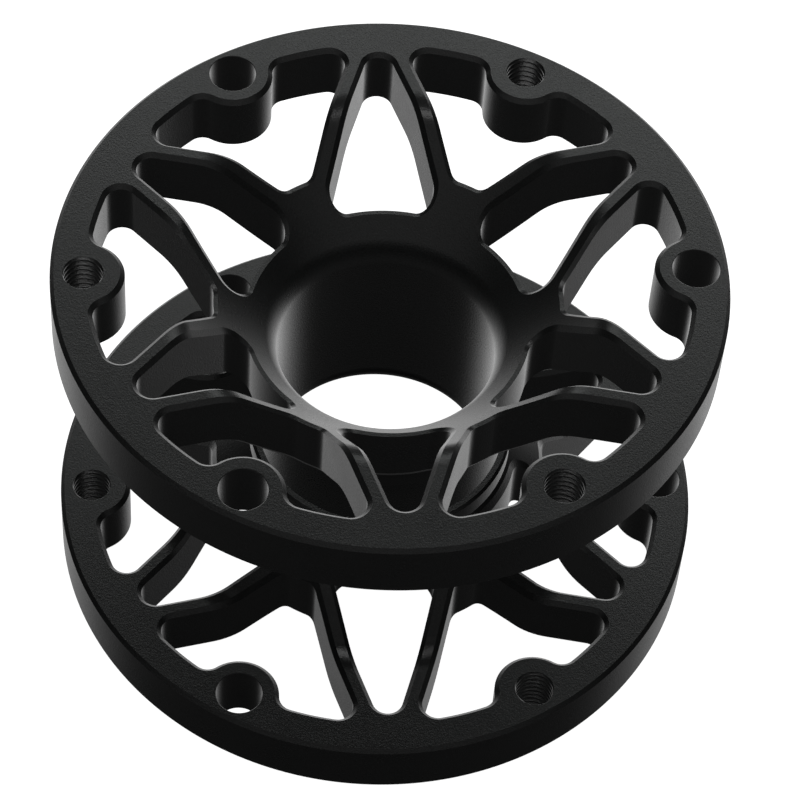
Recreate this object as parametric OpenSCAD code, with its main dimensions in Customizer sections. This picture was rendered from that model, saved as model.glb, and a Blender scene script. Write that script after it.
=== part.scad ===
// Bare spool of a small sailboat winch: two equal dished and spoked flanges
// pressed on the two ends of a short barrel sleeve with an open bore.
// Units are millimetres, +Z is up along the spool axis.
// The origin is the centre of the lower outer face.
// +X runs through a clearance hole. Both flanges carry the same hole layout.

/* [Overall] */
// Outside diameter of both flanges
outer_d = 118; // [100:1:140]
// Height between the two outer faces
overall_h = 75; // [70:0.5:90]
// Thickness of the flat rim ring
rim_t = 12; // [9:0.5:15]
// Chamfer on the rim edges
rim_chamfer = 0.7; // [0.3:0.1:1.5]

/* [Dish] */
// Radius where the flat ring ends and the outer dish starts
ring_r = 41.7; // [39:0.1:44]
// Radius of the blend between the flat ring and the 45 degree cone
blend_r = 7.2; // [4:0.1:10]
// Height of the inner face cone at the hub wall of the wide pockets, above mid height
hub_wall_low = 11.8; // [10.5:0.1:13]

/* [Barrel] */
// Bore diameter
bore_d = 39; // [34:0.5:41]
// Outside diameter of the barrel sleeve
sleeve_d = 45; // [43:0.5:46.5]
// Length of the barrel sleeve, between the two flange shoulders
sleeve_len = 30.8; // [28:0.2:32]
// Outside diameter of the hub collar round the sleeve
collar_d = 48; // [47.5:0.1:50]
// Length of bare sleeve between the two collars
waist_len = 13; // [10:0.5:16]
// Small chamfer on collar and sleeve edges
hub_chamfer = 0.5; // [0.2:0.1:0.8]

/* [Holes] */
// Diameter of the circle through the hole centres
hole_pcd = 106.5; // [104:0.5:110]
// Clearance hole diameter
clear_d = 8.4; // [6.6:0.1:9]
// Tapped hole core diameter
tapped_d = 6.8; // [5:0.1:7.5]

/* [Pockets] */
// Corner radius in all the pockets
corner_r = 2.8; // [2:0.1:3]
// Outer wall radius of the pockets behind the holes
pocket_out_r = 52.4; // [51:0.1:54]
// Radius of the round boss left about each hole
boss_r = 7.2; // [6.5:0.1:8.5]
// Radius of the hub end of the pockets behind the holes
boss_pocket_in_r = 30.8; // [29:0.2:33]
// Radius of the hub wall of the wide pockets between the holes
hub_wall_r = 25.4; // [25:0.1:27]
// Half angle of the wide pockets
half_angle = 18.1; // [16:0.1:21]
// Distance from the axis to the point where the sides of a wide pocket would meet
apex_r = 56.7; // [54:0.1:58]
// Width of each spoke
spoke_w = 3.3; // [2.5:0.1:4]

/* [Hidden] */
$fn = 128;
outer_r = outer_d / 2;
bore_r = bore_d / 2;
sleeve_r = sleeve_d / 2;
collar_r = collar_d / 2;
hole_r = hole_pcd / 2;
mid_z = overall_h / 2;
holes_each = 3;
pockets_each = 6;
past = 1;
// the cone runs at 45 degrees, so a corner blend uses the tangent of half of it
blend_tan = tan(22.5);
blend_len = blend_r * blend_tan;
// height above mid height of the 45 degree cones, when run on to radius zero
top_cone_h = mid_z - ring_r + blend_len;
under_cone_h = hub_wall_low - hub_wall_r;
under_flat_h = mid_z - rim_t;
// radius where the inner face cone meets the inner flat
under_meet_r = under_flat_h - under_cone_h;
seat_h = sleeve_len / 2;
collar_low_h = waist_len / 2;
// mouth flare, tangent to the bore at the seat and to the outer cone
flare_len = bore_r + top_cone_h - seat_h;
flare_r = flare_len / blend_tan;
black = [0.09, 0.09, 0.10];
black_core = [0.12, 0.12, 0.13];

// points on an arc about [cx, cy], from angle a to angle b, in n steps
function arc_pts(cx, cy, r, a, b, n) =
    [for (i = [0:n]) [cx + r * cos(a + (b - a) * i / n), cy + r * sin(a + (b - a) * i / n)]];

// half section of the upper flange, radius against height above mid height
module flange_section() {
    polygon(concat(
        [[outer_r, under_flat_h + rim_chamfer]],
        [[outer_r, mid_z - rim_chamfer]],
        [[outer_r - rim_chamfer, mid_z]],
        arc_pts(ring_r, mid_z - blend_r, blend_r, 90, 135, 4),
        arc_pts(bore_r + flare_r, seat_h, flare_r, 135, 180, 5),
        [[sleeve_r, seat_h]],
        [[sleeve_r, collar_low_h]],
        [[collar_r - hub_chamfer, collar_low_h]],
        [[collar_r, collar_low_h + hub_chamfer]],
        [[collar_r, under_cone_h + collar_r]],
        arc_pts(under_meet_r + blend_len, under_flat_h - blend_r, blend_r, 135, 90, 4),
        [[outer_r - rim_chamfer, under_flat_h]]
    ));
}

// wide pocket between two holes, on the +X side
module wide_pocket_2d() {
    run = apex_r - hub_wall_r / 2;
    offset(r = corner_r, $fn = 32)
        offset(delta = -corner_r)
            difference() {
                polygon([[apex_r, 0], [apex_r - run, run * tan(half_angle)],
                    [apex_r - run, -run * tan(half_angle)]]);
                circle(r = hub_wall_r);
            }
}

// pocket wrapped round a hole boss, on the +X side
module boss_pocket_2d() {
    side = 30 + half_angle;
    // distance from the axis to the near side of this pocket, past the spoke
    shift = apex_r * sin(half_angle) + spoke_w;
    near = shift / sin(side);
    reach = 2 * outer_r;
    offset(r = corner_r, $fn = 32)
        offset(delta = -corner_r)
            difference() {
                intersection() {
                    circle(r = pocket_out_r);
                    polygon([[near, 0], [near + reach * cos(side), reach * sin(side)],
                        [near + reach * cos(side), -reach * sin(side)]]);
                }
                circle(r = boss_pocket_in_r);
                translate([hole_r, 0])
                    circle(r = boss_r, $fn = 48);
            }
}

// one sharp-mouthed hole through the rim ring of the upper flange
module rim_hole(d) {
    translate([hole_r, 0, under_flat_h - past])
        cylinder(d = d, h = rim_t + 2 * past);
}

// upper flange, with mid height at zero
module flange_solid() {
    difference() {
        rotate_extrude()
            flange_section();
        for (i = [0:pockets_each - 1])
            rotate([0, 0, 60 * i + 30])
                linear_extrude(height = mid_z + past)
                    wide_pocket_2d();
        for (i = [0:pockets_each - 1])
            rotate([0, 0, 60 * i])
                linear_extrude(height = mid_z + past)
                    boss_pocket_2d();
        for (i = [0:holes_each - 1])
            rotate([0, 0, 120 * i])
                rim_hole(clear_d);
        for (i = [0:holes_each - 1])
            rotate([0, 0, 120 * i + 60])
                rim_hole(tapped_d);
    }
}

module flange_upper() {
    color(black)
        translate([0, 0, mid_z])
            flange_solid();
}

module flange_lower() {
    color(black)
        translate([0, 0, mid_z])
            mirror([0, 0, 1])
                flange_solid();
}

// plain tube seated in both flange hubs
module barrel_sleeve() {
    color(black_core)
        translate([0, 0, mid_z])
            rotate_extrude()
                polygon([[bore_r, -seat_h], [sleeve_r - hub_chamfer, -seat_h],
                    [sleeve_r, -seat_h + hub_chamfer], [sleeve_r, seat_h - hub_chamfer],
                    [sleeve_r - hub_chamfer, seat_h], [bore_r, seat_h]]);
}

flange_upper();
flange_lower();
barrel_sleeve();
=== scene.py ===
"""Looks of the winch drum spool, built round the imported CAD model.

Lengths inside the mesh code are millimetres; the meshes are scaled to metres at the end.
"""

import math

import bpy
import numpy as np
from mathutils import Matrix, Vector
from mathutils.geometry import delaunay_2d_cdt

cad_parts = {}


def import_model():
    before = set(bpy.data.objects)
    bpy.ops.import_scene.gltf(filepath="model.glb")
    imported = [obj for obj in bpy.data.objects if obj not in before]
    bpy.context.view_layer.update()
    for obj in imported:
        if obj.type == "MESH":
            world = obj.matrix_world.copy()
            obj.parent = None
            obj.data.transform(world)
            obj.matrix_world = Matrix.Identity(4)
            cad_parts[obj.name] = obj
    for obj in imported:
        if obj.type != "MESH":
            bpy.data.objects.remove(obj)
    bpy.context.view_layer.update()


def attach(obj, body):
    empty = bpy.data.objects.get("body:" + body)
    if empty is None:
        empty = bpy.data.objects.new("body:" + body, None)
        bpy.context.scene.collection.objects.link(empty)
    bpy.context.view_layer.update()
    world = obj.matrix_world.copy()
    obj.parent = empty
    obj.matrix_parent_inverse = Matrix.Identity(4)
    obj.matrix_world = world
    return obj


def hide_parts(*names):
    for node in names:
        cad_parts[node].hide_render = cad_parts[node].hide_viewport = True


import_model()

MM = 0.001
TURN = 2 * math.pi

# ---- sizes, as in part.scad -------------------------------------------------
OUTER_R = 59.0
MID_Z = 37.5
RIM_T = 12.0
RIM_CHAMFER = 0.7
RING_R = 41.7
BLEND_R = 7.2
HUB_WALL_LOW = 11.8
BORE_R = 19.5
SLEEVE_R = 22.5
SEAT_H = 15.4
COLLAR_R = 24.0
COLLAR_LOW_H = 6.5
HUB_CHAMFER = 0.5
HOLE_R = 53.25
CLEAR_R = 4.2
TAPPED_R = 3.4
HOLE_CHAMFER = 0.1
TAPPED_CHAMFER = 0.12
CORNER_R = 2.8
POCKET_OUT_R = 52.4
BOSS_R = 7.2
BOSS_POCKET_IN_R = 30.8
HUB_WALL_R = 25.4
HALF_ANGLE = math.radians(18.1)
APEX_R = 56.7
SPOKE_W = 3.3
THREAD_PITCH = 1.25
THREAD_ROOT_R = 4.0

# ---- finer points that only the visual model has ----------------------------
POCKET_CHAMFER = 0.8
MOUTH_INSET = 0.02  # how far the thread stops short of the two faces

# ---- how finely the meshes are cut, in steps round and in millimetres --------
ROUND_STEPS = 240
HOLE_STEPS = 64
THREAD_STEPS = 48
FLARE_STEPS = 16
CORNER_STEP = 0.35
BOSS_STEP = 0.6
HUB_STEP = 0.8
RUN_STEP = 0.9
OUTER_STEP = 1.0
RING_STEP = 1.4
ROUND_STEP = 1.5
BLEND_STEP = 0.6
EDGE_GAP = 0.55
WELD_DIGITS = 4

TAN_HALF = math.tan(math.radians(22.5))
BLEND_LEN = BLEND_R * TAN_HALF
TOP_CONE_H = MID_Z - RING_R + BLEND_LEN
UNDER_CONE_H = HUB_WALL_LOW - HUB_WALL_R
UNDER_FLAT_H = MID_Z - RIM_T
UNDER_MEET_R = UNDER_FLAT_H - UNDER_CONE_H
FLARE_LEN = BORE_R + TOP_CONE_H - SEAT_H
FLARE_R = FLARE_LEN / TAN_HALF
FLARE_END_R = BORE_R + FLARE_LEN * math.sqrt(0.5)


# ---- profile ----------------------------------------------------------------
def top_h(r):
    """Height of the outer face above mid height, and its slope, at radius r."""
    r = np.asarray(r, float)
    low = RING_R - BLEND_R * math.sqrt(0.5)
    q = np.clip(RING_R - r, 0, BLEND_R * math.sqrt(0.5))
    root = np.sqrt(BLEND_R**2 - q**2)
    h = np.where(r < low, TOP_CONE_H + r, MID_Z - BLEND_R + root)
    slope = np.where(r < low, 1.0, q / root)
    return h, slope


def under_h(r):
    """Height of the inner face above mid height, and its slope, at radius r."""
    r = np.asarray(r, float)
    high = UNDER_MEET_R + BLEND_LEN
    low = high - BLEND_R * math.sqrt(0.5)
    q = np.clip(high - r, 0, BLEND_R * math.sqrt(0.5))
    root = np.sqrt(BLEND_R**2 - q**2)
    h = np.where(r < low, UNDER_CONE_H + r, UNDER_FLAT_H - BLEND_R + root)
    slope = np.where(r < low, 1.0, q / root)
    return h, slope


# ---- pocket outlines --------------------------------------------------------
def arc(cx, cy, r, a, b, step, side=1):
    """Points on an arc with the direction into the metal: side 1 outward, -1 to the centre."""
    n = max(2, int(math.ceil(abs(b - a) * r / step)), int(math.ceil(abs(b - a) / 0.14)))
    t = np.linspace(a, b, n + 1)
    d = np.stack([np.cos(t), np.sin(t)], 1)
    return np.array([cx, cy]) + r * d, side * d


def line(p, q, step):
    """Points between two ends, without the ends, and the direction into the metal on the left."""
    p, q = np.array(p), np.array(q)
    n = max(1, int(round(np.linalg.norm(q - p) / step)))
    t = np.arange(1, n)[:, None] / n
    d = (q - p) / np.linalg.norm(q - p)
    nrm = np.array([d[1], -d[0]])
    return p + t * (q - p), np.tile(nrm, (n - 1, 1))


def mirrored(parts):
    """Closes a half outline, which starts and ends on the x axis, with its mirror image."""
    pts = np.concatenate([p for p, _ in parts])
    nrm = np.concatenate([n for _, n in parts])
    keep = np.concatenate([[True], np.linalg.norm(np.diff(pts, axis=0), axis=1) > 1e-6])
    pts, nrm = pts[keep], nrm[keep]
    flip = np.array([1.0, -1.0])
    return (
        np.concatenate([pts, pts[-2:0:-1] * flip]),
        np.concatenate([nrm, nrm[-2:0:-1] * flip]),
    )


def wide_outline():
    """Wall line of the wide pocket between two holes, turned to the +X side."""
    s = HALF_ANGLE
    normal = np.array([math.sin(s), math.cos(s)])
    along = np.array([math.cos(s), -math.sin(s)])
    side = APEX_R * math.sin(s)
    tip = APEX_R - CORNER_R / math.sin(s)
    dist = HUB_WALL_R + CORNER_R
    off = side - CORNER_R
    cc = normal * off + along * math.sqrt(dist**2 - off**2)
    a_cc = math.atan2(cc[1], cc[0])
    a_side = math.pi / 2 - s
    end = arc(tip, 0, CORNER_R, 0, a_side, CORNER_STEP)
    corner = arc(cc[0], cc[1], CORNER_R, a_side, math.pi + a_cc, CORNER_STEP)
    hub = arc(0, 0, HUB_WALL_R, a_cc, 0, HUB_STEP, -1)
    run = line(end[0][-1], corner[0][0], RUN_STEP)
    run = (run[0], np.tile(normal, (len(run[0]), 1)))
    return mirrored([end, run, corner, hub])


def boss_outline():
    """Wall line of the pocket wrapped round a hole boss, on the +X side."""
    s = math.radians(30) + HALF_ANGLE
    normal = np.array([-math.sin(s), math.cos(s)])
    along = np.array([math.cos(s), math.sin(s)])
    off = -(APEX_R * math.sin(HALF_ANGLE) + SPOKE_W) - CORNER_R
    a_side = math.atan2(normal[1], normal[0])
    # shoulder between the boss and the outer wall
    d1, d2 = POCKET_OUT_R - CORNER_R, BOSS_R + CORNER_R
    x = (HOLE_R**2 + d1**2 - d2**2) / (2 * HOLE_R)
    sh = np.array([x, math.sqrt(d1**2 - x**2)])
    a_boss = math.atan2(sh[1], sh[0] - HOLE_R)
    a_sh = math.atan2(sh[1], sh[0])
    # corner at the outer end of the spoke
    en = normal * off + along * math.sqrt(d1**2 - off**2)
    a_en = math.atan2(en[1], en[0])
    # corner at the hub end
    d3 = BOSS_POCKET_IN_R + CORNER_R
    hb = normal * off + along * math.sqrt(d3**2 - off**2)
    a_hb = math.atan2(hb[1], hb[0])
    boss = arc(HOLE_R, 0, BOSS_R, math.pi, a_boss, BOSS_STEP, -1)
    shoulder = arc(sh[0], sh[1], CORNER_R, a_boss - math.pi, a_sh, CORNER_STEP)
    outer = arc(0, 0, POCKET_OUT_R, a_sh, a_en, OUTER_STEP)
    corner = arc(en[0], en[1], CORNER_R, a_en, a_side, CORNER_STEP)
    hub_corner = arc(hb[0], hb[1], CORNER_R, a_side, math.pi + a_hb, CORNER_STEP)
    hub = arc(0, 0, BOSS_POCKET_IN_R, a_hb, 0, BOSS_STEP, -1)
    run = line(corner[0][-1], hub_corner[0][0], RUN_STEP)
    run = (run[0], np.tile(normal, (len(run[0]), 1)))
    return mirrored([boss, shoulder, outer, corner, run, hub_corner, hub])


def turned(outline, a):
    """An outline and its directions, turned about the axis."""
    c, s = math.cos(a), math.sin(a)
    m = np.array([[c, s], [-s, c]])
    return outline[0] @ m, outline[1] @ m


def circle(r, n=ROUND_STEPS, cx=0.0, cy=0.0):
    """Points round a circle, anticlockwise from +X."""
    t = np.arange(n) * TURN / n
    return np.stack([cx + r * np.cos(t), cy + r * np.sin(t)], 1)


# ---- mesh building ----------------------------------------------------------
class Shell:
    """Collects faces with a normal for each corner, then welds them into one mesh."""

    def __init__(self):
        self.faces = []

    def add(self, points, normals):
        """points and normals are arrays of shape (faces, corners, 3)."""
        # the way round is set by the normals; a quad is judged by its diagonals
        if points.shape[1] == 4:
            flat = np.cross(points[:, 2] - points[:, 0], points[:, 3] - points[:, 1])
        else:
            flat = np.cross(points[:, 1] - points[:, 0], points[:, 2] - points[:, 0])
        back = np.einsum("ij,ij->i", flat, normals.mean(1)) < 0
        points, normals = points.copy(), normals.copy()
        points[back] = points[back][:, ::-1]
        normals[back] = normals[back][:, ::-1]
        self.faces.append((points, normals))

    def band(self, a, b, na, nb, closed=True):
        """Quads between two matching rows of points."""
        if closed:
            a, b, na, nb = (np.concatenate([x, x[:1]]) for x in (a, b, na, nb))
        pts = np.stack([a[:-1], a[1:], b[1:], b[:-1]], 1)
        nrm = np.stack([na[:-1], na[1:], nb[1:], nb[:-1]], 1)
        self.add(pts, nrm)

    def mesh(self, name, flip_z=False, shift_z=0.0):
        """One welded mesh in metres, upside down if flip_z, with the corner normals kept."""
        loops, norms, sizes = [], [], []
        for p, n in self.faces:
            loops.append(p.reshape(-1, 3))
            norms.append(n.reshape(-1, 3))
            sizes.append(np.full(len(p), p.shape[1]))
        co, no, sizes = np.concatenate(loops), np.concatenate(norms), np.concatenate(sizes)
        _, first, index = np.unique(
            np.round(co, WELD_DIGITS), axis=0, return_index=True, return_inverse=True
        )
        index = index.reshape(-1)
        verts = co[first]
        if flip_z:
            verts = verts * np.array([1, 1, -1])
            no = no * np.array([1, 1, -1])
        verts = (verts + np.array([0, 0, shift_z])) * MM
        starts = np.concatenate([[0], np.cumsum(sizes)[:-1]])
        faces, keep = [], []
        for s, k in zip(starts, sizes):
            # corners that the weld has joined are dropped, and so are faces that it closed up
            ring, rows = [], []
            for j in range(s, s + k):
                if not ring or (index[j] != ring[-1]):
                    ring.append(int(index[j]))
                    rows.append(j)
            if len(ring) > 1 and ring[0] == ring[-1]:
                ring.pop()
                rows.pop()
            if len(set(ring)) < 3:
                continue
            if flip_z:
                ring.reverse()
                rows.reverse()
            faces.append(ring)
            keep += rows
        me = bpy.data.meshes.new(name)
        me.from_pydata(verts.tolist(), [], faces)
        me.shade_smooth()
        me.normals_split_custom_set(unit(no[keep]).tolist())
        me.update()
        return me


def unit(v):
    """Vectors scaled to length 1."""
    return v / np.maximum(np.linalg.norm(v, axis=-1, keepdims=True), 1e-12)


def lathe(shell, rows, steps=ROUND_STEPS):
    """Turns rows of (radius, height, normal in radius, normal in height) about the axis.

    A place given twice starts a new facing there.
    """
    t = np.arange(steps) * TURN / steps
    c, s = np.cos(t), np.sin(t)
    for (r0, z0, a0, b0), (r1, z1, a1, b1) in zip(rows[:-1], rows[1:]):
        if abs(r0 - r1) + abs(z0 - z1) < 1e-9:
            continue
        p0 = np.stack([r0 * c, r0 * s, np.full(steps, z0)], 1)
        p1 = np.stack([r1 * c, r1 * s, np.full(steps, z1)], 1)
        n0 = np.stack([a0 * c, a0 * s, np.full(steps, b0)], 1)
        n1 = np.stack([a1 * c, a1 * s, np.full(steps, b1)], 1)
        shell.band(p0, p1, n0, n1)


def flat_rows(points):
    """Lathe rows for a run of straight pieces, each with its own facing, metal on the right."""
    rows = []
    for (r0, z0), (r1, z1) in zip(points[:-1], points[1:]):
        d = np.array([r1 - r0, z1 - z0])
        d = d / np.linalg.norm(d)
        rows += [(r0, z0, -d[1], d[0]), (r1, z1, -d[1], d[0])]
    return rows


def inside(points, loop):
    """Which points lie inside a closed loop."""
    x, y = points[:, :1], points[:, 1:]
    ax, ay = loop[:, 0][None], loop[:, 1][None]
    bx, by = np.roll(loop[:, 0], -1)[None], np.roll(loop[:, 1], -1)[None]
    cross = (ay > y) != (by > y)
    at = (bx - ax) * (y - ay) / np.where(by == ay, 1e-12, by - ay) + ax
    return (cross & (x < at)).sum(1) % 2 == 1


def face_sheet(shell, height, facing, r_in, r_out, holes):
    """The turned outer or inner face between two radii, with holes cut through it."""
    loops = [circle(r_out), circle(r_in)] + holes
    free = []
    radii = list(np.arange(r_in + 1.0, r_out - 0.8, RING_STEP))
    # closer rings over the blend
    bend = list(np.arange(RING_R - 6.0, RING_R + 2.2, BLEND_STEP))
    radii = sorted([r for r in radii if not bend[0] - 0.8 < r < bend[-1] + 0.8] + bend)
    for k, r in enumerate(radii):
        n = int(TURN * r / ROUND_STEP)
        t = (np.arange(n) + 0.5 * (k % 2)) * TURN / n
        free.append(np.stack([r * np.cos(t), r * np.sin(t)], 1))
    free = np.concatenate(free)
    edge = np.concatenate(loops)
    near = np.concatenate(
        [np.min(np.linalg.norm(part[:, None] - edge[None], axis=2), axis=1)
         for part in np.array_split(free, 40)]
    )
    ok = near > EDGE_GAP
    for h in holes:
        ok &= ~inside(free, h)
    pts = np.concatenate([edge, free[ok]])
    edges, start = [], 0
    for lp in loops:
        n = len(lp)
        edges += [(start + i, start + (i + 1) % n) for i in range(n)]
        start += n
    out = delaunay_2d_cdt([Vector(p) for p in pts], edges, [], 0, 1e-7)
    xy = np.array([tuple(v) for v in out[0]])
    tris = np.array([f for f in out[2] if len(f) == 3])
    mid = xy[tris].mean(1)
    rad = np.linalg.norm(mid, axis=1)
    good = (rad < r_out) & (rad > r_in * math.cos(math.pi / ROUND_STEPS))
    good &= ~inside(mid, loops[1])
    for h in holes:
        good &= ~inside(mid, h)
    tris = tris[good]
    r = np.linalg.norm(xy, axis=1)
    h, slope = height(r)
    p = np.concatenate([xy, h[:, None]], 1)
    n = unit(np.concatenate([-slope[:, None] * xy / r[:, None], np.ones((len(xy), 1))], 1)) * facing
    shell.add(p[tris], n[tris])


def with_height(xy, z):
    """Flat points with their heights put on."""
    return np.concatenate([xy, np.asarray(z).reshape(-1, 1)], 1)


def bevel_band(shell, outer, inner, hint):
    """Chamfer between two loops, facing the way of hint."""
    tang = np.roll(inner, -1, 0) - np.roll(inner, 1, 0)
    n = unit(np.cross(tang, outer - inner))
    n *= np.sign(np.einsum("ij,ij->i", n, hint))[:, None]
    shell.band(outer, inner, n, n)


def pocket_wall(shell, outline):
    """Wall of a pocket from face to face, with the chamfer at both edges."""
    pts, nrm = outline
    rad = np.linalg.norm(pts, axis=1)
    wide = pts + POCKET_CHAMFER * nrm
    wide_rad = np.linalg.norm(wide, axis=1)
    air = np.concatenate([-nrm, np.zeros((len(nrm), 1))], 1)
    up = np.array([0, 0, 1.0])
    a = with_height(pts, top_h(rad)[0] - POCKET_CHAMFER)
    b = with_height(pts, under_h(rad)[0] + POCKET_CHAMFER)
    bevel_band(shell, with_height(wide, top_h(wide_rad)[0]), a, air + up)
    shell.band(a, b, air, air)
    bevel_band(shell, with_height(wide, under_h(wide_rad)[0]), b, air - up)


def plain_hole(shell, a):
    """A clearance hole at bearing a; gives back its outline in the two faces."""
    cx, cy = HOLE_R * math.cos(a), HOLE_R * math.sin(a)
    n = HOLE_STEPS
    big, small = circle(CLEAR_R + HOLE_CHAMFER, n, cx, cy), circle(CLEAR_R, n, cx, cy)
    out = unit(np.array([cx, cy]) - small)
    air = np.concatenate([out, np.zeros((n, 1))], 1)
    up = np.array([0, 0, 1.0])
    for z, s in ((MID_Z, 1), (UNDER_FLAT_H, -1)):
        mouth = with_height(big, np.full(n, z))
        wall = with_height(small, np.full(n, z - s * HOLE_CHAMFER))
        shell.band(mouth, wall, unit(air + s * up), unit(air + s * up))
    top = with_height(small, np.full(n, MID_Z - HOLE_CHAMFER))
    low = with_height(small, np.full(n, UNDER_FLAT_H + HOLE_CHAMFER))
    shell.band(top, low, air, air)
    return big


def tapped_hole(shell, a):
    """A hole at bearing a with a real right-hand thread; gives back its outline in the faces."""
    cx, cy = HOLE_R * math.cos(a), HOLE_R * math.sin(a)
    n = THREAD_STEPS
    t = np.arange(n + 1) * TURN / n
    z_top, z_low = MID_Z - MOUTH_INSET, UNDER_FLAT_H + MOUTH_INSET
    # crest, crest, root, root: places along one pitch and their radii
    phases = [(0.0, TAPPED_R), (0.25, TAPPED_R), (0.5625, THREAD_ROOT_R), (0.6875, THREAD_ROOT_R)]
    rows = []
    turns = int(RIM_T / THREAD_PITCH) + 3
    mouth_r = TAPPED_R + TAPPED_CHAMFER
    for k in range(turns):
        for ph, r in phases:
            z = z_low + THREAD_PITCH * (k - 1.5 + ph) + THREAD_PITCH * t / TURN
            rr = np.full(n + 1, r)
            # the chamfer opens the mouths wider than the thread's crests
            depth = np.minimum(z_top - z, z - z_low)
            rr = np.maximum(rr, mouth_r - np.maximum(depth, 0))
            out = depth <= 0
            rr[out] = mouth_r
            z = np.clip(z, z_low, z_top)
            rows.append(np.stack([cx + rr * np.cos(t), cy + rr * np.sin(t), z], 1))
    axis = np.array([cx, cy, 0])
    for p, q in zip(rows[:-1], rows[1:]):
        tang = np.zeros_like(p)
        tang[1:-1] = p[2:] - p[:-2]
        tang[0], tang[-1] = p[1] - p[0], p[-1] - p[-2]
        nrm = np.cross(tang, q - p)
        bad = np.linalg.norm(nrm, axis=1) < 1e-9
        inward = (axis - p) * np.array([1, 1, 0])
        nrm[bad] = inward[bad]
        nrm = unit(nrm)
        nrm *= np.where(np.einsum("ij,ij->i", nrm, inward) < 0, -1, 1)[:, None]
        shell.band(p, q, nrm, nrm, closed=False)
    mouth = circle(mouth_r, n, cx, cy)
    rim = circle(mouth_r + MOUTH_INSET, n, cx, cy)
    air = np.concatenate([unit(np.array([cx, cy]) - mouth), np.zeros((n, 1))], 1)
    for z, zi, s in ((MID_Z, z_top, 1), (UNDER_FLAT_H, z_low, -1)):
        nn = unit(air + np.array([0, 0, s]))
        shell.band(with_height(rim, np.full(n, z)), with_height(mouth, np.full(n, zi)), nn, nn)
    return rim


def flange_shell():
    """The upper flange, with heights from mid height."""
    sh = Shell()
    outlines = [turned(wide_outline(), math.radians(30 + 60 * i)) for i in range(6)]
    outlines += [turned(boss_outline(), math.radians(60 * i)) for i in range(6)]
    for o in outlines:
        pocket_wall(sh, o)
    cuts = [p + POCKET_CHAMFER * n for p, n in outlines]
    for i in range(3):
        cuts.append(plain_hole(sh, math.radians(120 * i)))
        cuts.append(tapped_hole(sh, math.radians(120 * i + 60)))
    rim_in = OUTER_R - RIM_CHAMFER
    face_sheet(sh, top_h, 1, FLARE_END_R, rim_in, cuts)
    face_sheet(sh, under_h, -1, COLLAR_R, rim_in, cuts)
    # rim, from the outer face round to the inner one
    lathe(sh, flat_rows([
        (rim_in, MID_Z), (OUTER_R, MID_Z - RIM_CHAMFER),
        (OUTER_R, UNDER_FLAT_H + RIM_CHAMFER), (rim_in, UNDER_FLAT_H),
    ]))
    # flared mouth
    rows = []
    for i in range(FLARE_STEPS + 1):
        b = math.radians(135 + 45 * i / FLARE_STEPS)
        cb, sb = math.cos(b), math.sin(b)
        rows.append((BORE_R + FLARE_R + FLARE_R * cb, SEAT_H + FLARE_R * sb, cb, sb))
    lathe(sh, rows)
    # seat, counterbore and collar
    lathe(sh, flat_rows([
        (BORE_R, SEAT_H), (SLEEVE_R, SEAT_H), (SLEEVE_R, COLLAR_LOW_H),
        (COLLAR_R - HUB_CHAMFER, COLLAR_LOW_H), (COLLAR_R, COLLAR_LOW_H + HUB_CHAMFER),
        (COLLAR_R, UNDER_CONE_H + COLLAR_R),
    ][::-1]))
    return sh


def sleeve_shell():
    """The barrel between the two seats, with heights from mid height."""
    sh = Shell()
    c = HUB_CHAMFER
    lathe(sh, flat_rows([
        (BORE_R, -SEAT_H), (BORE_R, SEAT_H), (SLEEVE_R - c, SEAT_H), (SLEEVE_R, SEAT_H - c),
        (SLEEVE_R, -SEAT_H + c), (SLEEVE_R - c, -SEAT_H), (BORE_R, -SEAT_H),
    ]))
    return sh


# ---- materials --------------------------------------------------------------
GRAIN_SCALE = 3300
CLOUD_SCALE = 90
GRAIN_DEPTH = 0.08 * MM


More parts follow.
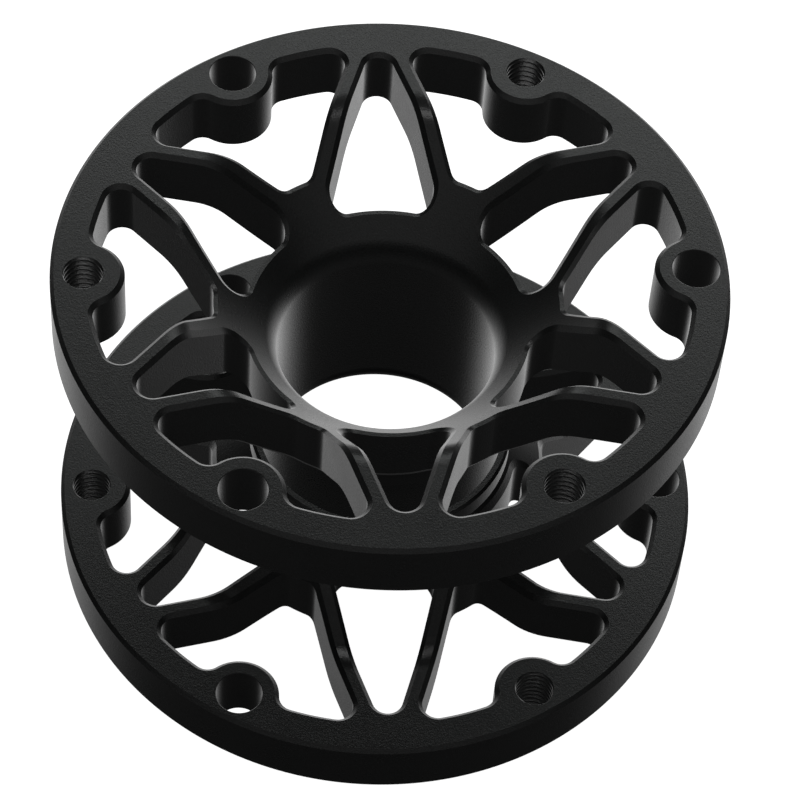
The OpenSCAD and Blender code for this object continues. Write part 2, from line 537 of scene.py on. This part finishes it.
def anodised(name, base, rough, grain, bump):
    """Black anodised, bead-blasted aluminium: dark, evenly matt, with a fine sparkling grain."""
    m = bpy.data.materials.new(name)
    m.use_nodes = True
    nt = m.node_tree
    bsdf = nt.nodes["Principled BSDF"]
    tex = nt.nodes.new("ShaderNodeTexCoord")

    def noise(scale, detail):
        n = nt.nodes.new("ShaderNodeTexNoise")
        n.inputs["Scale"].default_value = scale
        n.inputs["Detail"].default_value = detail
        nt.links.new(tex.outputs["Object"], n.inputs["Vector"])
        return n.outputs["Fac"]

    def ramp(fac, lo, hi, a, b):
        r = nt.nodes.new("ShaderNodeMapRange")
        for key, v in (("From Min", lo), ("From Max", hi), ("To Min", a), ("To Max", b)):
            r.inputs[key].default_value = v
        nt.links.new(fac, r.inputs["Value"])
        return r.outputs["Result"]

    def times(x, y):
        n = nt.nodes.new("ShaderNodeMath")
        n.operation = "MULTIPLY"
        nt.links.new(x, n.inputs[0])
        nt.links.new(y, n.inputs[1])
        return n.outputs["Value"]

    fine = noise(GRAIN_SCALE, 2)
    cloud = noise(CLOUD_SCALE, 4)
    shade = times(ramp(fine, 0.3, 0.7, 1 - grain, 1 + grain), ramp(cloud, 0.3, 0.7, 0.93, 1.07))
    tint = nt.nodes.new("ShaderNodeVectorMath")
    tint.operation = "SCALE"
    tint.inputs[0].default_value = base
    nt.links.new(shade, tint.inputs["Scale"])
    nt.links.new(tint.outputs["Vector"], bsdf.inputs["Base Color"])
    gloss = times(
        ramp(fine, 0.3, 0.7, 1.08, 0.92), ramp(cloud, 0.3, 0.7, rough - 0.02, rough + 0.02)
    )
    nt.links.new(gloss, bsdf.inputs["Roughness"])
    bmp = nt.nodes.new("ShaderNodeBump")
    bmp.inputs["Strength"].default_value = bump
    bmp.inputs["Distance"].default_value = GRAIN_DEPTH
    nt.links.new(fine, bmp.inputs["Height"])
    nt.links.new(bmp.outputs["Normal"], bsdf.inputs["Normal"])
    bsdf.inputs["Metallic"].default_value = 0.0
    bsdf.inputs["IOR"].default_value = 1.5
    bsdf.inputs["Specular IOR Level"].default_value = 0.5
    return m


def piece(mesh, name, material, nodes):
    """Puts a mesh in the scene in place of CAD nodes."""
    o = bpy.data.objects.new(name, mesh)
    bpy.context.scene.collection.objects.link(o)
    mesh.materials.append(material)
    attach(o, "root")
    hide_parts(*nodes)
    # the pieces don't block each other's reflections of the studio
    o.visible_glossy = False


flange_mat = anodised("flange_anodised_look", (0.0165, 0.0172, 0.017), 0.3, 0.3, 0.45)
sleeve_mat = anodised("sleeve_anodised_look", (0.0155, 0.016, 0.016), 0.27, 0.25, 0.45)
flange = flange_shell()
piece(flange.mesh("spoked_flange_upper", shift_z=MID_Z), "spoked_flange_upper", flange_mat,
      ["flange_upper"])
piece(flange.mesh("spoked_flange_lower", flip_z=True, shift_z=MID_Z), "spoked_flange_lower",
      flange_mat, ["flange_lower"])
piece(sleeve_shell().mesh("sleeve", shift_z=MID_Z), "sleeve", sleeve_mat,
      ["barrel_sleeve"])

# ---- floor, light and camera ------------------------------------------------
CAM_TURN = math.radians(-6.43)
CAM_ELEV = math.radians(52.976)
CAM_ROLL = math.radians(4.597)
CAM_LENS = 153.18
CAM_BACK, CAM_RIGHT, CAM_UP = 0.61957, 0.00326, 0.00033
FLOOR_HALF = 4.0
LAMP_TINT = (0.97, 1, 0.99)
view_turn = Matrix.Rotation(CAM_TURN, 4, "Z")


def aim(obj, at, target):
    """Places obj at a point given in the view's own frame: x right, y away from the camera."""
    at, target = view_turn @ Vector(at), view_turn @ Vector(target)
    facing = (target - at).to_track_quat("-Z", "Y").to_matrix().to_4x4()
    obj.matrix_world = Matrix.Translation(at) @ facing


def softbox(name, at, size, power, tint=(1, 1, 1)):
    """A square-edged area light that points at the middle of the spool."""
    d = bpy.data.lights.new(name, "AREA")
    d.shape = "RECTANGLE"
    d.size, d.size_y = size
    d.energy = power
    d.color = tint
    o = bpy.data.objects.new(name, d)
    bpy.context.scene.collection.objects.link(o)
    aim(o, at, (0, 0, MID_Z * MM))


def floor():
    """Plain white paper that doesn't show in reflections, which the world provides."""
    me = bpy.data.meshes.new("floor")
    s = FLOOR_HALF
    me.from_pydata([(-s, -s, 0), (s, -s, 0), (s, s, 0), (-s, s, 0)], [], [(0, 1, 2, 3)])
    o = bpy.data.objects.new("floor", me)
    bpy.context.scene.collection.objects.link(o)
    m = bpy.data.materials.new("floor_paper")
    m.use_nodes = True
    b = m.node_tree.nodes["Principled BSDF"]
    b.inputs["Base Color"].default_value = (0.92, 0.92, 0.92, 1)
    b.inputs["Roughness"].default_value = 0.9
    b.inputs["Emission Color"].default_value = (1, 1, 1, 1)
    b.inputs["Emission Strength"].default_value = 1.0
    me.materials.append(m)
    o.visible_glossy = False
    o.visible_diffuse = False


def world():
    """White to the camera; for the object, a tent that is bright low down behind it."""
    w = bpy.data.worlds.new("studio")
    bpy.context.scene.world = w
    w.use_nodes = True
    nt = w.node_tree
    bg = nt.nodes["Background"]
    coord = nt.nodes.new("ShaderNodeTexCoord")
    rot = nt.nodes.new("ShaderNodeVectorRotate")
    rot.rotation_type = "Z_AXIS"
    rot.inputs["Angle"].default_value = -CAM_TURN
    nt.links.new(coord.outputs["Generated"], rot.inputs["Vector"])
    sep = nt.nodes.new("ShaderNodeSeparateXYZ")
    nt.links.new(rot.outputs["Vector"], sep.inputs["Vector"])

    def ramp(value, lo, hi, a, b):
        r = nt.nodes.new("ShaderNodeMapRange")
        r.interpolation_type = "SMOOTHSTEP"
        for key, v in (("From Min", lo), ("From Max", hi), ("To Min", a), ("To Max", b)):
            r.inputs[key].default_value = v
        nt.links.new(value, r.inputs["Value"])
        return r.outputs["Result"]

    def op(kind, x, y=None):
        n = nt.nodes.new("ShaderNodeMath")
        n.operation = kind
        nt.links.new(x, n.inputs[0])
        if y is not None:
            nt.links.new(y, n.inputs[1])
        return n.outputs["Value"]

    # how far round to the back, whatever the height, and how far up
    bearing = op("COSINE", op("ARCTAN2", sep.outputs["X"], sep.outputs["Y"]))
    height = sep.outputs["Z"]
    low = op("MULTIPLY", ramp(height, -0.92, -0.72, 0.05, 1.0), ramp(height, -0.5, 0.05, 1.0, 0.05))
    low = op("MULTIPLY", low, ramp(bearing, 0.0, 0.95, 0.09, 1.1))
    # a soft reflector over the camera
    high = op("MULTIPLY", ramp(height, 0.4, 0.5, 0.0, 0.25), ramp(height, 0.68, 0.8, 1.0, 0.0))
    high = op("MULTIPLY", high, ramp(bearing, -0.6, 0.1, 1.0, 0.0))
    mix = nt.nodes.new("ShaderNodeMix")
    mix.data_type = "FLOAT"
    path = nt.nodes.new("ShaderNodeLightPath")
    nt.links.new(path.outputs["Is Camera Ray"], mix.inputs["Factor"])
    nt.links.new(op("ADD", low, high), mix.inputs["A"])
    mix.inputs["B"].default_value = 1.0
    nt.links.new(mix.outputs["Result"], bg.inputs["Strength"])
    bg.inputs["Color"].default_value = (1, 1, 1, 1)


floor()
world()
softbox("back_box", (0.1, 0.75, 0.72), (1.2, 0.3), 2.0, LAMP_TINT)
softbox("top_box", (0, -0.3, 1.0), (0.6, 0.28), 1.7)

cam_data = bpy.data.cameras.new("camera")
cam = bpy.data.objects.new("camera", cam_data)
bpy.context.scene.collection.objects.link(cam)
cam_data.sensor_width = 36.0
cam_data.lens = CAM_LENS
cam_data.clip_start = 0.01
fwd = Vector((0, math.cos(CAM_ELEV), -math.sin(CAM_ELEV)))
right = Vector((1, 0, 0))
up = right.cross(fwd)
rolled_right = math.cos(CAM_ROLL) * right + math.sin(CAM_ROLL) * up
rolled_up = -math.sin(CAM_ROLL) * right + math.cos(CAM_ROLL) * up
spot = -fwd * CAM_BACK + right * CAM_RIGHT + up * CAM_UP + Vector((0, 0, MID_Z * MM))
pose = Matrix.Identity(4)
for i in range(3):
    pose[i][:] = rolled_right[i], rolled_up[i], -fwd[i], spot[i]
cam.matrix_world = view_turn @ pose
bpy.context.scene.camera = cam
bpy.context.scene.view_settings.view_transform = "Standard"
